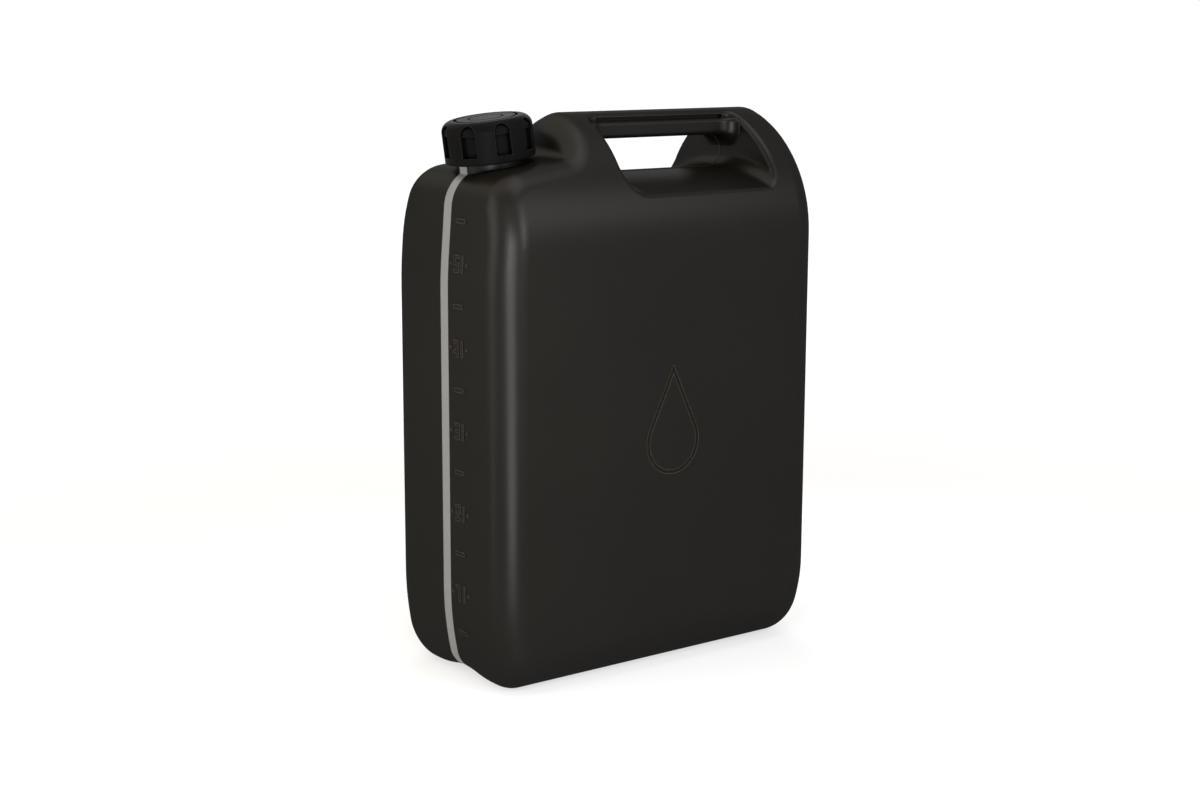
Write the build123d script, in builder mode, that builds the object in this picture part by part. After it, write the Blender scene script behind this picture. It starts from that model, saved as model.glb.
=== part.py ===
"""Water carrier: a blow-moulded can with a carrying handle, a sight strip and a screw cap.

Millimetres, +Z up. The origin is on the floor under the middle of the can. X runs along the can with
the neck at -X, and the broad front faces -Y.
"""
from build123d import *
from math import cos, radians, sin, sqrt, tan
import os

# Can
can_length = 218.0
can_depth = 109.0
can_height = 305.0
wall = 1.8
end_radius = 15.5
foot_radius = 24.0
foot_width = 27.5
arch_radius = 72.0
crest_radius = 20.0
channel_depth = 3.2
lean_start_neck_end = 52.0
lean_radius_neck_end = 175.0
lean_start_far_end = 45.0
lean_radius_far_end = 75.0
cut_margin = 20.0
upright_share = 0.999

# Neck end of the can
shoulder_drop = 30.3
shoulder_inset = 4.2
shoulder_radius = 21.0
bend_drop = 53.7
bend_radius = 250.0
shoulder_lead = 60.0
neck_tilt = 8.0
valley_radius = 8.0
ramp_inset = 58.5
ramp_angle = 78.0

# Handle
window_inset_neck_end = 85.5
window_inset_far_end = 27.5
window_drop = 44.7
window_radius_neck_end = 14.0
window_radius_far_end = 6.0
hole_step_neck_end = 1.0
hole_step_far_end = 2.0
hole_rise = 11.3
hole_radius = 9.5
rim_radius = 3.5
crest_half = 8.6
crest_corner_radius = 4.5
grip_half = 10.2
grip_drop = 14.8
grip_height = 9.2
grip_radius = 2.6
groove_radius = 2.2
groove_radius_inside = 0.4
lip_groove_depth = 1.7
lip_groove_height = 2.6
lip_groove_sink = 0.2
lip_groove_inset = 6.0
flare_radius = 9.0
flare_shares = (0.0, 0.3, 0.55, 0.75, 0.9, 0.97)
handle_overlap = 6.0

# Neck and its thread
neck_inset = 30.5
neck_radius = 18.2
neck_bore = 15.8
neck_root = 5.0
thread_pitch = 5.0
thread_turns = 1.5
thread_start = 7.6
thread_depth = 1.4
thread_root_half = 1.3
thread_crest_half = 0.6
thread_sink = 0.4
thread_clearance = 0.3

# Cap and seal
collar_height = 3.3
cap_radius = 24.1
cap_height = 22.0
cap_top = 2.2
cap_bore = 20.2
cap_shoulder_radius = 5.6
cap_edge_radius = 1.0
seal_thickness = 2.3
seal_bore = 13.5
seal_clearance = 0.3
pocket_count = 8
pocket_start = 30.6
pocket_width = 8.4
pocket_bottom = 7.3
pocket_shelf = 18.6
pocket_top = 24.0
pocket_depth = 2.6
scoop_depth = 1.1
pocket_reach = 27.0
pocket_root = 12.0
ring_outer = 17.2
ring_inner = 15.6
ring_depth = 0.8
disc_groove_outer = 9.6
disc_groove_inner = 8.6
disc_groove_depth = 0.5

# Sight strip
strip_width = 7.0
strip_reach = 25.0
strip_neck_height = 6.0

# Litre marks on the neck end
litre_count = 5
litre_first = 51.2
litre_pitch = 44.45
mark_y = -13.6
mark_height = 0.5
mark_root = 6.0
half_share = 0.5
tick_length = 8.4
tick_width = 2.3
tick_radius = 0.8
digit_width = 3.5
digit_height = 7.3
digit_stroke = 1.8
digit_shift = -1.7
letter_shift = 3.4
dot_shift = 7.5
dot_radius = 0.8

# Drop sign on the front
drop_x = 3.0
drop_z = 128.0
drop_radius = 18.0
drop_tip = 42.0
drop_line = 1.8
drop_depth = 0.6

channel_half = can_depth / 2 - foot_width
shoulder_x = -can_length / 2 + shoulder_inset
shoulder_height = can_height - shoulder_drop
bend_height = shoulder_height - bend_drop
ramp_x = -can_length / 2 + ramp_inset
window_left = -can_length / 2 + window_inset_neck_end
window_right = can_length / 2 - window_inset_far_end
window_bottom = can_height - window_drop
hole_left = window_left + hole_step_neck_end
hole_right = window_right - hole_step_far_end
hole_bottom = window_bottom + hole_rise
grip_bottom = can_height - grip_drop
grip_top = grip_bottom + grip_height
strip_end_x = -can_length / 2 + strip_reach
neck_x = -can_length / 2 + neck_inset
neck_height = collar_height + cap_height - cap_top - seal_thickness
neck_z = shoulder_height + (neck_x - shoulder_x) * tan(radians(neck_tilt))
tilt_cos = cos(radians(neck_tilt))
tilt_sin = sin(radians(neck_tilt))
neck_plane = Plane(origin=(neck_x, 0, neck_z), x_dir=(tilt_cos, 0, tilt_sin), z_dir=(-tilt_sin, 0, tilt_cos))
arch_rise = sqrt((arch_radius - crest_radius) ** 2 - (arch_radius - can_depth / 2) ** 2)
arch_start = can_height - crest_radius - arch_rise


def cross_section(inset):
    """Section across the can: feet with a channel between them, upright sides and an arched top."""
    half = can_depth / 2
    arch_y = half - arch_radius
    join_share = arch_radius / (arch_radius - crest_radius)
    crest_y = arch_y - arch_y * join_share
    crest_z = arch_start + (can_height - crest_radius - arch_start) * join_share
    channel_mid = (channel_half / 2, channel_depth / 2)
    with BuildSketch(Plane.YZ) as outline:
        with BuildLine():
            TangentArc((0, channel_depth), channel_mid, tangent=(1, 0))
            TangentArc((channel_half, 0), channel_mid, tangent=(-1, 0))
            Line((channel_half, 0), (half - foot_radius, 0))
            TangentArc((half - foot_radius, 0), (half, foot_radius), tangent=(1, 0))
            Line((half, foot_radius), (half, arch_start))
            TangentArc((half, arch_start), (crest_y, crest_z), tangent=(0, 1))
            TangentArc((0, can_height), (crest_y, crest_z), tangent=(1, 0))
            mirror(about=Plane.YZ)
        make_face()
        if inset:
            offset(amount=-inset)
    return outline.sketch


def neck_end_outline(inset):
    """Space above the rounded shoulder, the neck's platform and the ramp, seen from the front."""
    left = -can_length / 2
    top = can_height + cut_margin
    valley = (ramp_x, shoulder_height + (ramp_x - shoulder_x) * tan(radians(neck_tilt)))
    ramp_top = (ramp_x + (top - valley[1]) / tan(radians(ramp_angle)), top)
    low = bend_height - shoulder_lead
    with BuildSketch(Plane.XZ) as outline:
        with BuildLine():
            FilletPolyline(
                (left, low),
                (left, bend_height),
                (shoulder_x, shoulder_height),
                valley,
                ramp_top,
                radius=[bend_radius, shoulder_radius, valley_radius],
            )
            Polyline(ramp_top, (left - cut_margin, top), (left - cut_margin, low), (left, low))
        make_face()
        if inset:
            offset(amount=inset)
    return outline.sketch


def lean_outline(side, inset):
    """Space outside the foot of an end, which leans in towards the floor."""
    start = lean_start_neck_end if side < 0 else lean_start_far_end
    radius = lean_radius_neck_end if side < 0 else lean_radius_far_end
    end = side * can_length / 2
    foot = end - side * (radius - sqrt(radius**2 - (start + channel_depth) ** 2))
    with BuildSketch(Plane.XZ) as outline:
        with BuildLine():
            TangentArc((end, start), (foot, -channel_depth), tangent=(0, -1))
            Polyline(
                (foot, -channel_depth),
                (end + side * cut_margin, -channel_depth),
                (end + side * cut_margin, start),
                (end, start),
            )
        make_face()
        if inset:
            offset(amount=inset)
    return outline.sketch


def runs_along(edge, direction):
    """True for a straight edge along a direction."""
    return edge.geom_type == GeomType.LINE and abs((edge % 0.5).dot(Vector(direction))) > upright_share


def loaf(inset):
    """The can without its window: the section run along X, cut for the neck, with rounded ends."""
    with BuildPart() as blank:
        extrude(cross_section(inset), amount=can_length / 2 - inset, dir=(1, 0, 0), both=True)
        extrude(neck_end_outline(inset), amount=can_depth, dir=(0, 1, 0), both=True, mode=Mode.SUBTRACT)
        for side in (-1, 1):
            foot_space = lean_outline(side, inset)
            extrude(foot_space, amount=can_depth, dir=(0, 1, 0), both=True, mode=Mode.SUBTRACT)
        end_edges = [
            edge
            for edge in blank.edges()
            if not runs_along(edge, (1, 0, 0))
            and not (runs_along(edge, (0, 1, 0)) and edge.center().Z > channel_depth + wall)
        ]
        fillet(end_edges, end_radius - inset)
    return blank.part


def window(inset):
    """Handle window from front to back, narrowest at mid depth and open at the top."""
    outer = (window_left, window_right, window_bottom, window_radius_neck_end, window_radius_far_end)
    middle = (hole_left, hole_right, hole_bottom, hole_radius, hole_radius)
    top = can_height + cut_margin
    with BuildPart() as space:
        for y, sizes in ((-can_depth / 2, outer), (0, middle), (can_depth / 2, outer)):
            left, right, bottom, radius_left, radius_right = sizes
            with BuildSketch(Plane.XZ.offset(-y)):
                with BuildLine():
                    FilletPolyline(
                        (left - inset, top),
                        (left - inset, bottom - inset),
                        (right + inset, bottom - inset),
                        (right + inset, top),
                        radius=[radius_left + inset, radius_right + inset],
                    )
                    Line((right + inset, top), (left - inset, top))
                make_face()
        loft()
    return space.part


def handle_space(inset):
    """Space of the window on both sides of the crest, which runs on over the grip bar, and below it."""
    crest = crest_half - inset - lip_groove_depth if inset else crest_half
    with BuildPart() as space:
        add(window(inset))
        with Locations((0, 0, (grip_bottom + grip_top) / 2)):
            Box(
                can_length,
                2 * crest,
                can_height,
                align=(Align.CENTER, Align.CENTER, Align.MIN),
                mode=Mode.SUBTRACT,
            )
        crest_corners = [
            edge
            for edge in space.edges()
            if abs((edge % 0.5).Z) > upright_share
            and edge.center().Z > grip_top
            and abs(edge.center().Y) < grip_half
        ]
        fillet(crest_corners, crest_corner_radius)
    return space.part


def grip_section(x, inset, spread):
    """Section of the grip bar at X, made larger by spread at the sides and below."""
    half = grip_half - inset + spread
    bottom = grip_bottom + inset - spread
    top = grip_top - inset
    low = grip_radius - inset + spread
    high = groove_radius_inside if inset else groove_radius
    with BuildSketch(Plane.YZ.offset(x)) as outline:
        with BuildLine():
            Line((0, bottom), (half - low, bottom))
            TangentArc((half - low, bottom), (half, bottom + low), tangent=(1, 0))
            Line((half, bottom + low), (half, top - high))
            TangentArc((half, top - high), (half - high, top), tangent=(0, 1))
            Line((half - high, top), (0, top))
            mirror(about=Plane.YZ)
        make_face()
    return outline.sketch


def grip(inset):
    """Grip bar that flares into the can at both ends."""
    spreads = [flare_radius * (1 - sqrt(1 - share**2)) for share in flare_shares]
    runs = [flare_radius * (1 - share) for share in flare_shares]
    left = hole_left - inset
    right = hole_right + inset
    with BuildPart() as bar:
        for end, side in ((left, -1), (right, 1)):
            loft([grip_section(end - side * run, inset, spread) for run, spread in zip(runs, spreads)])
            widest = grip_section(end - side * runs[-1], inset, spreads[-1])
            extrude(widest, amount=handle_overlap, dir=(side, 0, 0))
        plain_length = right - left - 2 * flare_radius
        extrude(grip_section(left + flare_radius, inset, 0), amount=plain_length, dir=(1, 0, 0))
    return bar.part


def thread_ridge(radius, start, outward):
    """Helical ridge on a cylinder about Z. It stands outward for 1 and inward for -1."""
    with BuildPart() as ridge:
        with BuildLine(Plane.XY.offset(start)) as path:
            Helix(pitch=thread_pitch, height=thread_pitch * thread_turns, radius=radius)
        with BuildSketch(Plane(origin=path.line @ 0, x_dir=(outward, 0, 0), z_dir=path.line % 0)):
            Polygon(
                (-thread_sink, -thread_root_half),
                (thread_depth, -thread_crest_half),
                (thread_depth, thread_crest_half),
                (-thread_sink, thread_root_half),
                align=None,
            )
        sweep(path=path.line, is_frenet=True)
    return ridge.part


def cap_core(inset):
    """Plain outside of the cap about Z, made smaller by inset at the side and on top."""
    top = collar_height + cap_height - inset
    radius = cap_radius - inset
    shoulder = cap_shoulder_radius - inset
    with BuildPart() as core:
        with BuildSketch(Plane.XZ):
            with BuildLine():
                Polyline((0, top), (0, collar_height), (radius, collar_height), (radius, top - shoulder))
                TangentArc((radius, top - shoulder), (radius - shoulder, top), tangent=(0, 1))
                Line((radius - shoulder, top), (0, top))
            make_face()
        revolve(axis=Axis.Z)
    return core.part


def digit_points(digit):
    """Strokes of a plain numeral, centred on zero."""
    side = digit_width / 2
    tall = digit_height / 2
    if digit == 1:
        return [[(-side, tall / 2), (side / 2, tall), (side / 2, -tall)]]
    if digit == 2:
        return [[(-side, tall), (side, tall), (side, 0), (-side, -tall), (side, -tall)]]
    if digit == 3:
        return [[(-side, tall), (side, tall), (side, -tall), (-side, -tall)], [(-side / 2, 0), (side, 0)]]
    if digit == 4:
        return [[(side, -tall / 2), (-side, -tall / 2), (side / 2, tall), (side / 2, -tall)]]
    return [[(side, tall), (-side, tall), (-side, 0), (side, 0), (side, -tall), (-side, -tall)]]


def stroke(start, end):
    """One rounded stroke in the open sketch."""
    run = Vector(*end) - Vector(*start)
    middle = (Vector(*end) + Vector(*start)) / 2
    with Locations(middle):
        SlotCenterToCenter(run.length, digit_stroke, rotation=Vector(1, 0, 0).get_signed_angle(run))


loaf_outside = loaf(0)
loaf_inside = loaf(wall)

with BuildPart() as shape_outside:
    add(loaf_outside)
    add(handle_space(0), mode=Mode.SUBTRACT)
    rim_edges = [
        edge
        for edge in shape_outside.edges(Select.LAST)
        if not loaf_outside.is_inside(edge @ 0.5 + Vector(0, 0, rim_radius / 2))
    ]
    fillet(rim_edges, rim_radius)
    add(grip(0) & loaf_outside)
    groove_z = grip_top + lip_groove_height / 2 - lip_groove_sink
    for side in (-1, 1):
        groove_origin = ((hole_left + hole_right) / 2, side * (crest_half - lip_groove_depth), groove_z)
        with BuildSketch(Plane(origin=groove_origin, x_dir=(1, 0, 0), z_dir=(0, side, 0))):
            SlotOverall(hole_right - hole_left - 2 * lip_groove_inset, lip_groove_height)
        extrude(amount=grip_half, mode=Mode.SUBTRACT)

with BuildPart() as shape_inside:
    add(loaf_inside)
    add(handle_space(wall), mode=Mode.SUBTRACT)
    add(grip(wall) & loaf_inside)

with BuildPart() as neck:
    with BuildSketch(Plane.XY.offset(-neck_root)):
        Circle(neck_radius)
    extrude(amount=neck_root + neck_height)
    add(thread_ridge(neck_radius, thread_start, 1))

with BuildPart() as can_wall:
    add(shape_outside.part)
    add(neck_plane.location * neck.part)
    add(shape_inside.part, mode=Mode.SUBTRACT)
    with BuildSketch(neck_plane.offset(-neck_root)):
        Circle(neck_bore)
    extrude(amount=neck_root + neck_height, mode=Mode.SUBTRACT)

with BuildPart() as strip_space:
    with Locations((-can_length / 2 - cut_margin, 0, -cut_margin)):
        Box(
            strip_end_x + can_length / 2 + cut_margin,
            strip_width,
            can_height + 2 * cut_margin,
            align=(Align.MIN, Align.CENTER, Align.MIN),
        )
    with BuildSketch(neck_plane.offset(strip_neck_height)):
        Rectangle(can_length, can_depth)
    extrude(amount=can_height, mode=Mode.SUBTRACT)

with BuildPart() as sight_strip:
    add(can_wall.part)
    add(strip_space.part, mode=Mode.INTERSECT)

with BuildPart() as litre_marks:
    mark_origin = (-can_length / 2 + mark_root, mark_y, 0)
    with BuildSketch(Plane(origin=mark_origin, x_dir=(0, -1, 0), z_dir=(-1, 0, 0))):
        for litre in range(1, litre_count + 1):
            level = litre_first + litre_pitch * (litre - 1)
            for points in digit_points(litre):
                for start, end in zip(points, points[1:]):
                    stroke((start[0] + digit_shift, start[1] + level), (end[0] + digit_shift, end[1] + level))
            stroke((letter_shift, level - digit_height / 2), (letter_shift, level + digit_height / 2))
            with Locations((-dot_shift, level), (dot_shift, level)):
                Circle(dot_radius)
        for litre in range(litre_count + 1):
            with Locations((0, litre_first + litre_pitch * (litre - half_share))):
                RectangleRounded(tick_length, tick_width, tick_radius)
    extrude(amount=mark_root + mark_height)
    for outline in (neck_end_outline(-mark_height), lean_outline(-1, -mark_height)):
        extrude(outline, amount=can_depth, dir=(0, 1, 0), both=True, mode=Mode.SUBTRACT)
    add(loaf_inside, mode=Mode.SUBTRACT)

with BuildPart() as can_body:
    add(can_wall.part)
    add(strip_space.part, mode=Mode.SUBTRACT)
    add(litre_marks.part)
    with BuildSketch(Plane.XZ.offset(can_depth / 2)):
        with Locations((drop_x, drop_z)):
            Circle(drop_radius)
            lean = drop_radius / drop_tip
            flank = (drop_radius * sqrt(1 - lean**2), drop_radius * lean)
            Polygon((0, drop_tip), (-flank[0], flank[1]), flank, align=None)
        offset(amount=-drop_line, mode=Mode.SUBTRACT)
    extrude(amount=-drop_depth, mode=Mode.SUBTRACT)

with BuildPart() as scoop:
    arch_z = pocket_top - pocket_width / 2
    with BuildSketch(Plane.YZ.offset(pocket_root)):
        with Locations((0, (pocket_bottom + arch_z) / 2)):
            Rectangle(pocket_width, arch_z - pocket_bottom)
        with Locations((0, arch_z)):
            Circle(pocket_width / 2)
    extrude(amount=pocket_reach - pocket_root)
    add(cap_core(scoop_depth), mode=Mode.SUBTRACT)

with BuildPart() as pocket:
    with BuildSketch(Plane.YZ.offset(pocket_root)):
        with Locations((0, (pocket_bottom + pocket_shelf) / 2)):
            Rectangle(pocket_width, pocket_shelf - pocket_bottom)
    extrude(amount=pocket_reach - pocket_root)
    add(cap_core(pocket_depth), mode=Mode.SUBTRACT)

with BuildPart() as cap_upright:
    add(cap_core(0))
    fillet(cap_upright.edges().group_by(Axis.Z)[0], cap_edge_radius)
    with PolarLocations(0, pocket_count, start_angle=pocket_start):
        add(scoop.part, mode=Mode.SUBTRACT)
        add(pocket.part, mode=Mode.SUBTRACT)
    with BuildSketch(Plane.XY.offset(collar_height + cap_height)):
        Circle(ring_outer)
        Circle(ring_inner, mode=Mode.SUBTRACT)
    extrude(amount=-ring_depth, mode=Mode.SUBTRACT)
    with BuildSketch(Plane.XY.offset(collar_height + cap_height)):
        Circle(disc_groove_outer)
        Circle(disc_groove_inner, mode=Mode.SUBTRACT)
    extrude(amount=-disc_groove_depth, mode=Mode.SUBTRACT)
    with BuildSketch(Plane.XY.offset(collar_height)):
        Circle(cap_bore)
    extrude(amount=cap_height - cap_top, mode=Mode.SUBTRACT)
    flank_half = (thread_root_half + thread_crest_half) / 2
    add(thread_ridge(cap_bore, thread_start - 2 * flank_half - thread_clearance, -1))

with BuildPart() as screw_cap:
    add(neck_plane.location * cap_upright.part)

with BuildPart() as cap_seal:
    with BuildSketch(neck_plane.offset(neck_height)):
        Circle(cap_bore - seal_clearance)
        Circle(seal_bore, mode=Mode.SUBTRACT)
    extrude(amount=seal_thickness)

os.makedirs("parts", exist_ok=True)
can_body.part.label = "can_body"
export_step(can_body.part, "parts/can_body.step")
sight_strip.part.label = "sight_strip"
export_step(sight_strip.part, "parts/sight_strip.step")
screw_cap.part.label = "screw_cap"
export_step(screw_cap.part, "parts/screw_cap.step")
cap_seal.part.label = "cap_seal"
export_step(cap_seal.part, "parts/cap_seal.step")
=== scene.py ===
import math
from typing import NamedTuple

import bpy
from mathutils import Matrix, Vector


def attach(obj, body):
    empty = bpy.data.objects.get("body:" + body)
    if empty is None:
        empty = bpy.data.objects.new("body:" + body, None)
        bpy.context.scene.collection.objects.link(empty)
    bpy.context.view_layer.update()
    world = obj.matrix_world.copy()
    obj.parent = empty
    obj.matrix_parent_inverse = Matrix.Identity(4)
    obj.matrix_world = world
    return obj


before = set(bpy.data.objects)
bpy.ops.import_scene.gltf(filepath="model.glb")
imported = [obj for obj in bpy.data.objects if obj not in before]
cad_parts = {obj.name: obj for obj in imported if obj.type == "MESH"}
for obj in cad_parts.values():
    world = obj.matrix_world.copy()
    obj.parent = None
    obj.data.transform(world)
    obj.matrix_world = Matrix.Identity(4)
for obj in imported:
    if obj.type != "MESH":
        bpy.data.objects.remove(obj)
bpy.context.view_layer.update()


class Plastic(NamedTuple):
    """The look of a moulded plastic. Its softness rounds the edges off, below and beside the handle."""
    name: str
    colour: tuple
    colour_change: float
    roughness: tuple
    grain_waves: float
    grain_height: float
    softness: tuple


class Skin(NamedTuple):
    """The shine of a black plastic from a thin skin, and painted edge highlights below and beside the
    handle.
    """
    weight: float
    ior: float
    edge_highlight_radius: float
    edge_highlight_gains: tuple


class Lamp(NamedTuple):
    """A soft box that faces its target, with lengths in metres and its power in watts."""
    name: str
    place: tuple
    target: tuple
    width: float
    height: float
    power: float
    colour: tuple


# Camera of the photograph
CAMERA_PLACE = Vector((-0.65889, -0.87006, 0.35380))
CAMERA_BACK = Vector((-0.58919837, -0.78528626, 0.19018617))
CAMERA_UP = Vector((0.11113114, 0.15438356, 0.9817411))
CAMERA_LENS = 58.9065
SENSOR_WIDTH = 36.0

# Plastics, with linear colours, lengths in metres and noises in waves per metre
CAN_PLASTIC = Plastic(
    name="can_plastic",
    colour=(0.0041, 0.0035, 0.0026),
    colour_change=0.06,
    roughness=(0.30, 0.36),
    grain_waves=1500.0,
    grain_height=0.00003,
    softness=(0.0003, 0.0005),
)
# The edge gains lighten the colour along the can's edges: painted highlights.
CAN_SKIN = Skin(weight=0.052, ior=2.6, edge_highlight_radius=0.0008, edge_highlight_gains=(13.0, 6.0))
CAP_PLASTIC = Plastic(
    name="cap_plastic",
    colour=(0.0032, 0.0032, 0.0032),
    colour_change=0.06,
    roughness=(0.36, 0.42),
    grain_waves=1500.0,
    grain_height=0.00003,
    softness=(0.0003, 0.0003),
)
# The edge gains lighten the colour along the cap's edges: painted highlights.
CAP_SKIN = Skin(weight=0.42, ior=1.1, edge_highlight_radius=0.0005, edge_highlight_gains=(5.0, 5.0))
STRIP_PLASTIC = Plastic(
    name="strip_plastic",
    colour=(0.119, 0.123, 0.125),
    colour_change=0.05,
    roughness=(0.4, 0.5),
    grain_waves=900.0,
    grain_height=0.00002,
    softness=(0.0003, 0.0003),
)
SEAL_RUBBER = Plastic(
    name="seal_rubber",
    colour=(0.55, 0.54, 0.50),
    colour_change=0.04,
    roughness=(0.6, 0.7),
    grain_waves=1200.0,
    grain_height=0.00002,
    softness=(0.0003, 0.0003),
)
PALE_SHINE = 0.3
STRIP_GLOW = 0.25
STRIP_GLOW_DEPTHS = (0.002, 0.002, 0.0018)

# Noises, rounded edges, painted edge highlights and painted shade in hollows of all plastics
SLOW_WAVES = 14.0
SLOW_DETAIL = 2.0
GRAIN_DETAIL = 3.0
NOISE_MIDDLE = (0.2, 0.8)
NODE_SAMPLES = 6
EDGE_LIKENESS = (0.98, 0.80)
HANDLE_HEIGHTS = (0.262, 0.266)
# Painted shade in grooves and pockets, by how closed in they are
HOLLOW_REACH = 0.003
HOLLOW_OPENNESS = (0.35, 0.95)
HOLLOW_SHADES = (0.15, 1.0)

# Mould seam round the hand hole, in metres like the can
SEAM_LEFT = -0.0225
SEAM_RIGHT = 0.0795
SEAM_BOTTOM = 0.2716
SEAM_TOP = 0.2902
SEAM_RADIUS_LOW = 0.0095
SEAM_RADIUS_HIGH = 0.0090
SEAM_HALF = 0.0004
SEAM_RISE = 0.0005
SEAM_ROOT = 0.0005
SEAM_STEPS = 24
QUARTER_TURN = 90

# Floor and world
FLOOR_SIZE = 60.0
FLOOR_COLOUR = (0.7, 0.7, 0.7)
FLOOR_ROUGHNESS = 0.9
FLOOR_SHINE = 0.1
FLOOR_DISTANCES = (0.4, 1.3)
FLOOR_WHITES = (1.02, 1.52)
FLOOR_WHITE_SHARE = 0.62
WORLD_LIGHT = 0.35
WORLD_WHITE = 1.0

# Lamps, and the places on the can that they face
WARM = (1.0, 0.88, 0.71)
PLAIN = (1.0, 1.0, 1.0)
CAN_MIDDLE = (0.0, 0.0, 0.16)
FRONT_EDGE = (-0.105, -0.05, 0.15)
FRONT_EDGE_TOP = (-0.105, -0.05, 0.25)
BACK_EDGE = (0.105, 0.05, 0.15)
SHOULDER = (-0.09, -0.05, 0.25)
LAMPS = [
    Lamp("left", (-1.23, 0.42, 0.55), CAN_MIDDLE, 0.9, 0.9, 10.0, WARM),
    Lamp("right", (0.32, -1.00, 0.72), CAN_MIDDLE, 1.0, 0.5, 5.4, PLAIN),
    Lamp("top", (-0.35, 0.62, 1.33), CAN_MIDDLE, 1.6, 1.6, 14.0, WARM),
    Lamp("over", (0.10, -0.25, 1.30), CAN_MIDDLE, 0.8, 0.8, 7.0, PLAIN),
    Lamp("back", (0.90, 1.37, 0.78), CAN_MIDDLE, 1.1, 0.7, 4.5, PLAIN),
    Lamp("low", (-0.237, -0.274, 0.15), FRONT_EDGE, 0.134, 0.30, 1.05, PLAIN),
    Lamp("back_low", (0.237, 0.274, 0.15), BACK_EDGE, 0.134, 0.30, 0.95, PLAIN),
    Lamp("glint", (-0.344, -0.306, 0.27), FRONT_EDGE_TOP, 0.10, 0.10, 0.62, PLAIN),
    Lamp("side", (-0.351, 0.035, 0.15), FRONT_EDGE, 0.05, 0.30, 0.10, PLAIN),
    Lamp("edge", (0.10, -1.00, 0.44), SHOULDER, 0.16, 0.35, 3.4, PLAIN),
]


def feed(tree, socket, value):
    """Links another node's output to a socket, or writes a plain value there."""
    if isinstance(value, bpy.types.NodeSocket):
        tree.links.new(value, socket)
    else:
        socket.default_value = value


def own_place(tree):
    """The place in the piece's own coordinates, in metres."""
    return tree.nodes.new("ShaderNodeTexCoord").outputs["Object"]


def noise_of(tree, waves, detail):
    """A noise over the piece's own coordinates, in waves per metre."""
    noise = tree.nodes.new("ShaderNodeTexNoise")
    feed(tree, noise.inputs["Vector"], own_place(tree))
    feed(tree, noise.inputs["Scale"], waves)
    feed(tree, noise.inputs["Detail"], detail)
    return noise.outputs["Fac"]


def map_range(tree, source, source_range, result_range, smooth=False):
    """Maps one range of values to another, and holds the result at both ends."""
    remap = tree.nodes.new("ShaderNodeMapRange")
    remap.interpolation_type = "SMOOTHSTEP" if smooth else "LINEAR"
    feed(tree, remap.inputs["Value"], source)
    feed(tree, remap.inputs["From Min"], source_range[0])
    feed(tree, remap.inputs["From Max"], source_range[1])
    feed(tree, remap.inputs["To Min"], result_range[0])
    feed(tree, remap.inputs["To Max"], result_range[1])
    return remap.outputs["Result"]


def combine(tree, operation, first, second):
    """Two values put together by one operation."""
    node = tree.nodes.new("ShaderNodeMath")
    node.operation = operation
    feed(tree, node.inputs[0], first)
    feed(tree, node.inputs[1], second)
    return node.outputs[0]


def scale_colour(tree, colour, factor):
    """A colour made lighter or darker by a factor."""
    product = tree.nodes.new("ShaderNodeVectorMath")
    product.operation = "SCALE"
    feed(tree, product.inputs[0], colour)
    feed(tree, product.inputs["Scale"], factor)
    return product.outputs["Vector"]


def mix_shaders(tree, share, first, second):
    """The first shader, with a share of the second."""
    mix = tree.nodes.new("ShaderNodeMixShader")
    feed(tree, mix.inputs["Fac"], share)
    feed(tree, mix.inputs[1], first.outputs[0])
    feed(tree, mix.inputs[2], second.outputs[0])
    return mix.outputs[0]


def uneven_colour(tree, source, colour, change):
    """Maps a noise to shades a little darker and lighter than a colour."""
    ramp = tree.nodes.new("ShaderNodeValToRGB")
    ramp.color_ramp.interpolation = "EASE"
    shades = (1 - change, 1 + change)
    for element, position, shade in zip(ramp.color_ramp.elements, NOISE_MIDDLE, shades):
        element.position = position
        element.color = (*(part * shade for part in colour), 1)
    feed(tree, ramp.inputs["Fac"], source)
    return ramp.outputs["Color"]


def soft_normal(tree, radius):
    """The normal with the edges rounded off by a radius."""
    rounding = tree.nodes.new("ShaderNodeBevel")
    rounding.samples = NODE_SAMPLES
    feed(tree, rounding.inputs["Radius"], radius)
    return rounding.outputs["Normal"]


def edge_share(tree, radius):
    """1 along the edges of a piece and 0 away from them."""
    geometry = tree.nodes.new("ShaderNodeNewGeometry")
    likeness = tree.nodes.new("ShaderNodeVectorMath")
    likeness.operation = "DOT_PRODUCT"
    feed(tree, likeness.inputs[0], soft_normal(tree, radius))
    feed(tree, likeness.inputs[1], geometry.outputs["Normal"])
    return map_range(tree, likeness.outputs["Value"], EDGE_LIKENESS, (0.0, 1.0))


def by_height(tree, values):
    """The first value below the handle, and the second beside it."""
    place = tree.nodes.new("ShaderNodeSeparateXYZ")
    feed(tree, place.inputs[0], own_place(tree))
    return map_range(tree, place.outputs["Z"], HANDLE_HEIGHTS, values)


def new_material(name):
    """A material with its nodes and its main shader."""
    material = bpy.data.materials.new(name)
    material.use_nodes = True
    tree = material.node_tree
    return material, tree, tree.nodes["Principled BSDF"]


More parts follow.
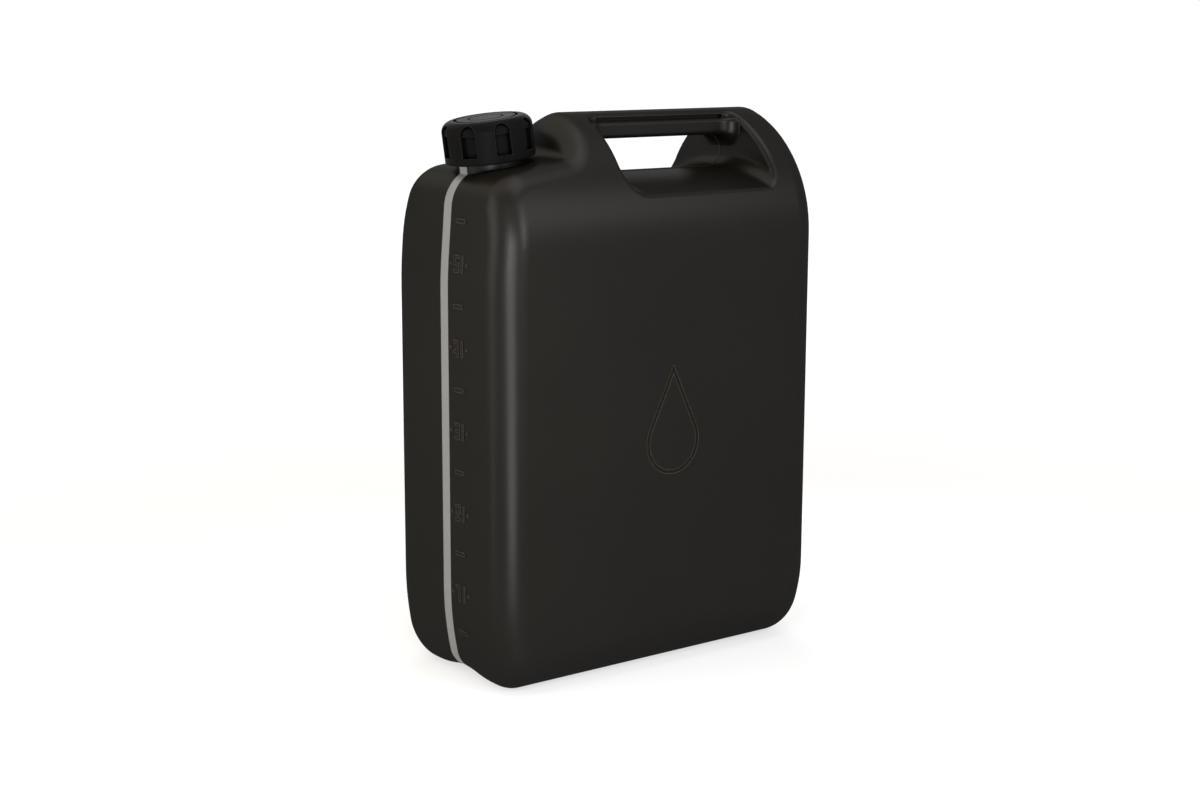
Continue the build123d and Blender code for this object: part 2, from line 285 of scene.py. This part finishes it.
def moulded_plastic(plastic):
    """Plastic with a fine grain, slow changes of gloss and a slightly uneven colour."""
    material, tree, shader = new_material(plastic.name)
    slow = noise_of(tree, SLOW_WAVES, SLOW_DETAIL)
    colour = uneven_colour(tree, slow, plastic.colour, plastic.colour_change)
    gloss = map_range(tree, slow, NOISE_MIDDLE, plastic.roughness, smooth=True)
    bump = tree.nodes.new("ShaderNodeBump")
    feed(tree, bump.inputs["Strength"], 1.0)
    feed(tree, bump.inputs["Distance"], plastic.grain_height)
    feed(tree, bump.inputs["Height"], noise_of(tree, plastic.grain_waves, GRAIN_DETAIL))
    feed(tree, bump.inputs["Normal"], soft_normal(tree, by_height(tree, plastic.softness)))
    feed(tree, shader.inputs["Base Color"], colour)
    for socket in ("Roughness", "Coat Roughness"):
        feed(tree, shader.inputs[socket], gloss)
    for socket in ("Normal", "Coat Normal"):
        feed(tree, shader.inputs[socket], bump.outputs["Normal"])
    return material, tree, shader


def scale_base(tree, shader, factor):
    """Scales the colour that the shader has so far."""
    base = shader.inputs["Base Color"]
    feed(tree, base, scale_colour(tree, base.links[0].from_socket, factor))


def paint_edge_highlights(tree, shader, skin):
    """Paints highlights along the edges of a piece, as a lighter colour."""
    gain = by_height(tree, skin.edge_highlight_gains)
    scale_base(tree, shader, map_range(tree, edge_share(tree, skin.edge_highlight_radius), (0.0, 1.0), (1.0, gain)))


def paint_shade_in_hollows(tree, shader, skin):
    """Painted shade: darkens the colour and takes shine away in grooves and pockets, by how closed in they
    are.
    """
    hollow = tree.nodes.new("ShaderNodeAmbientOcclusion")
    hollow.samples = NODE_SAMPLES
    hollow.only_local = True
    feed(tree, hollow.inputs["Distance"], HOLLOW_REACH)
    open_share = map_range(tree, hollow.outputs["AO"], HOLLOW_OPENNESS, HOLLOW_SHADES, smooth=True)
    feed(tree, shader.inputs["Coat Weight"], combine(tree, "MULTIPLY", open_share, skin.weight))
    scale_base(tree, shader, open_share)


def black_plastic(plastic, skin):
    """Black plastic shining from a thin skin, dark at flat angles too, with painted edge highlights and
    painted shade in hollows.
    """
    material, tree, shader = moulded_plastic(plastic)
    paint_edge_highlights(tree, shader, skin)
    paint_shade_in_hollows(tree, shader, skin)
    feed(tree, shader.inputs["Specular IOR Level"], 0.0)
    feed(tree, shader.inputs["Coat IOR"], skin.ior)
    return material


def clear_strip():
    """Natural, milky plastic of the sight strip."""
    material, tree, shader = moulded_plastic(STRIP_PLASTIC)
    feed(tree, shader.inputs["Specular IOR Level"], PALE_SHINE)
    feed(tree, shader.inputs["Subsurface Weight"], STRIP_GLOW)
    feed(tree, shader.inputs["Subsurface Radius"], STRIP_GLOW_DEPTHS)
    feed(tree, shader.inputs["Subsurface Scale"], 1.0)
    return material


def seal_rubber():
    """Soft off-white rubber of the sealing ring."""
    material, tree, shader = moulded_plastic(SEAL_RUBBER)
    feed(tree, shader.inputs["Specular IOR Level"], PALE_SHINE)
    return material


def dress(node, material):
    """Gives a CAD node its material."""
    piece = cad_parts[node]
    piece.data.materials.clear()
    piece.data.materials.append(material)


def add_object(name, data):
    """A new object in the scene."""
    added = bpy.data.objects.new(name, data)
    bpy.context.scene.collection.objects.link(added)
    return added


def hole_outline():
    """Points round the hand hole at mid depth, each with the direction into the hole."""
    low, high = SEAM_RADIUS_LOW, SEAM_RADIUS_HIGH
    corners = [
        (SEAM_RIGHT - low, SEAM_BOTTOM + low, low, -QUARTER_TURN),
        (SEAM_RIGHT - high, SEAM_TOP - high, high, 0),
        (SEAM_LEFT + high, SEAM_TOP - high, high, QUARTER_TURN),
        (SEAM_LEFT + low, SEAM_BOTTOM + low, low, 2 * QUARTER_TURN),
    ]
    for x, z, radius, start in corners:
        for step in range(SEAM_STEPS + 1):
            angle = math.radians(start + QUARTER_TURN * step / SEAM_STEPS)
            across = Vector((math.cos(angle), 0, math.sin(angle)))
            yield Vector((x, 0, z)) + radius * across, -across


def hole_seam(material):
    """Fine ridge that the two halves of the mould leave round the hand hole."""
    aside = Vector((0, SEAM_HALF, 0))
    rings = []
    for place, inward in hole_outline():
        root = place - SEAM_ROOT * inward
        crest = place + SEAM_RISE * inward
        rings.append((root - aside, crest, root + aside))
    points = [point for ring in rings for point in ring]
    sides = len(rings[0])
    faces = []
    for ring in range(len(rings)):
        here = sides * ring
        there = sides * ((ring + 1) % len(rings))
        for side in range(sides):
            other = (side + 1) % sides
            faces.append((here + side, there + side, there + other, here + other))
    mesh = bpy.data.meshes.new("hole_seam")
    mesh.from_pydata(points, [], faces)
    mesh.materials.append(material)
    seam = add_object("hole_seam", mesh)
    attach(seam, "can")


def seen_ray(tree):
    """1 for the rays that show the background itself: from the camera, from gloss and through glass."""
    path = tree.nodes.new("ShaderNodeLightPath")
    seen = path.outputs["Is Camera Ray"]
    for name in ("Is Glossy Ray", "Is Transmission Ray"):
        seen = combine(tree, "MAXIMUM", seen, path.outputs[name])
    return seen


def make_world():
    """White where it is seen, and a plain soft light where it falls on the can."""
    world = bpy.data.worlds.new("studio")
    bpy.context.scene.world = world
    world.use_nodes = True
    tree = world.node_tree
    light = tree.nodes["Background"]
    white = tree.nodes.new("ShaderNodeBackground")
    for background, strength in ((light, WORLD_LIGHT), (white, WORLD_WHITE)):
        feed(tree, background.inputs["Color"], (1, 1, 1, 1))
        feed(tree, background.inputs["Strength"], strength)
    shown = mix_shaders(tree, seen_ray(tree), light, white)
    feed(tree, tree.nodes["World Output"].inputs["Surface"], shown)


def floor_paper():
    """Pale paper that is white where it is seen, more so far from the can, and keeps a faint shadow."""
    material, tree, shader = new_material("floor_paper")
    feed(tree, shader.inputs["Base Color"], (*FLOOR_COLOUR, 1))
    feed(tree, shader.inputs["Roughness"], FLOOR_ROUGHNESS)
    feed(tree, shader.inputs["Specular IOR Level"], FLOOR_SHINE)
    distance = tree.nodes.new("ShaderNodeVectorMath")
    distance.operation = "LENGTH"
    feed(tree, distance.inputs[0], own_place(tree))
    strength = map_range(tree, distance.outputs["Value"], FLOOR_DISTANCES, FLOOR_WHITES, smooth=True)
    white = tree.nodes.new("ShaderNodeEmission")
    feed(tree, white.inputs["Strength"], strength)
    share = combine(tree, "MULTIPLY", seen_ray(tree), FLOOR_WHITE_SHARE)
    shown = mix_shaders(tree, share, shader, white)
    feed(tree, tree.nodes["Material Output"].inputs["Surface"], shown)
    return material


def make_floor():
    """Wide flat floor under the can."""
    half = FLOOR_SIZE / 2
    corners = [(-half, -half, 0), (half, -half, 0), (half, half, 0), (-half, half, 0)]
    mesh = bpy.data.meshes.new("floor")
    mesh.from_pydata(corners, [], [(0, 1, 2, 3)])
    mesh.materials.append(floor_paper())
    floor = add_object("floor", mesh)


def make_camera():
    """The photograph's camera."""
    data = bpy.data.cameras.new("camera")
    data.lens = CAMERA_LENS
    data.sensor_width = SENSOR_WIDTH
    camera = add_object("camera", data)
    right = CAMERA_UP.cross(CAMERA_BACK)
    turn = Matrix((right, CAMERA_UP, CAMERA_BACK)).transposed()
    camera.matrix_world = Matrix.Translation(CAMERA_PLACE) @ turn.to_4x4()
    bpy.context.scene.camera = camera


def make_lamp(lamp):
    """A soft box that the camera doesn't see."""
    data = bpy.data.lights.new(lamp.name, "AREA")
    data.shape = "RECTANGLE"
    data.size = lamp.width
    data.size_y = lamp.height
    data.energy = lamp.power
    data.color = lamp.colour
    light = add_object(lamp.name, data)
    light.location = lamp.place
    backward = Vector(lamp.place) - Vector(lamp.target)
    light.rotation_euler = backward.to_track_quat("Z", "Y").to_euler()
    light.visible_camera = False


can_plastic = black_plastic(CAN_PLASTIC, CAN_SKIN)
dress("can_body", can_plastic)
dress("screw_cap", black_plastic(CAP_PLASTIC, CAP_SKIN))
dress("sight_strip", clear_strip())
dress("cap_seal", seal_rubber())
hole_seam(can_plastic)

make_world()
make_floor()
make_camera()
for lamp in LAMPS:
    make_lamp(lamp)

bpy.context.scene.view_settings.view_transform = "Standard"
